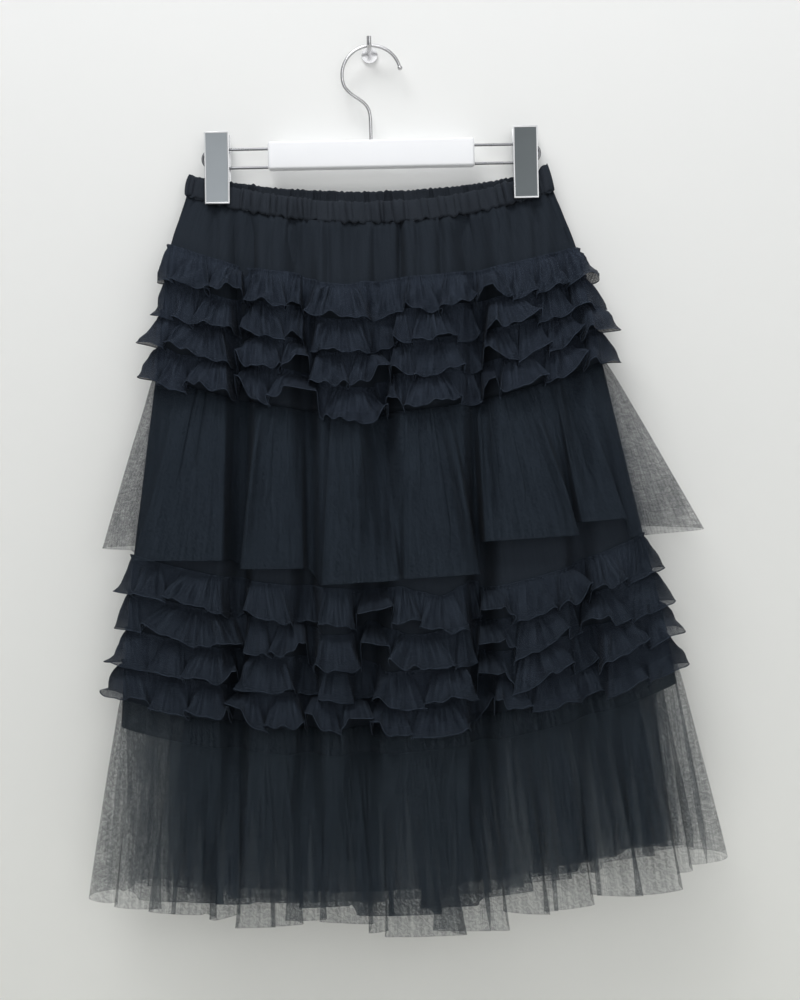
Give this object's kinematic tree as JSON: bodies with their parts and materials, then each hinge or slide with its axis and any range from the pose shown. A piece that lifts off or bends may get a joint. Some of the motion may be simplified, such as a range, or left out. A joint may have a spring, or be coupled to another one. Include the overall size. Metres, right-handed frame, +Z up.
{
  "type": "chiffon skirt on a clip hanger",
  "caption": "Black gathered skirt with ruffled net bands, a net flounce and sheer hem tiers, hung by its waist from a clip hanger on a wall hook.",
  "frame": {"origin": "centre of the wall hook's plate, on the wall plane", "axes": "+Z up, +Y into the wall; the skirt's front faces -Y and +X is to the right seen from the front"},
  "size_m": [0.5697, 0.106, 0.8013],
  "materials": {
    "waistband_cloth": "matt black gathered cloth over elastic",
    "opaque_cloth": "matt black opaque cloth",
    "ruffle_net": "fine black net, gathered",
    "flounce_net": "fine black net",
    "hem_net": "sheer black net",
    "white_plastic": "white moulded plastic",
    "bright_wire": "bright plated steel wire",
    "clip_metal": "satin metal clip"
  },
  "bodies": {
    "root": {"waistband": "waistband_cloth", "upper_panel_front": "opaque_cloth", "upper_panel_back": "opaque_cloth", "upper_ruffle_1": "ruffle_net", "upper_ruffle_2": "ruffle_net", "upper_ruffle_3": "ruffle_net", "upper_ruffle_4": "ruffle_net", "flounce": "flounce_net", "lower_panel_front": "opaque_cloth", "lower_panel_back": "opaque_cloth", "lower_ruffle_1": "ruffle_net", "lower_ruffle_2": "ruffle_net", "lower_ruffle_3": "ruffle_net", "lower_ruffle_4": "ruffle_net", "hem_tier_outer": "hem_net", "hem_tier_inner_front": "hem_net", "hem_tier_inner_back": "hem_net", "hanger_bar": "white_plastic", "hanger_hook": "bright_wire", "wire_loop_left": "bright_wire", "wire_loop_right": "bright_wire", "clip_left_front": "clip_metal", "clip_left_back": "clip_metal", "clip_left_pivot": "bright_wire", "clip_right_front": "clip_metal", "clip_right_back": "clip_metal", "clip_right_pivot": "bright_wire", "wall_hook": "bright_wire"}
  },
  "joints": []
}
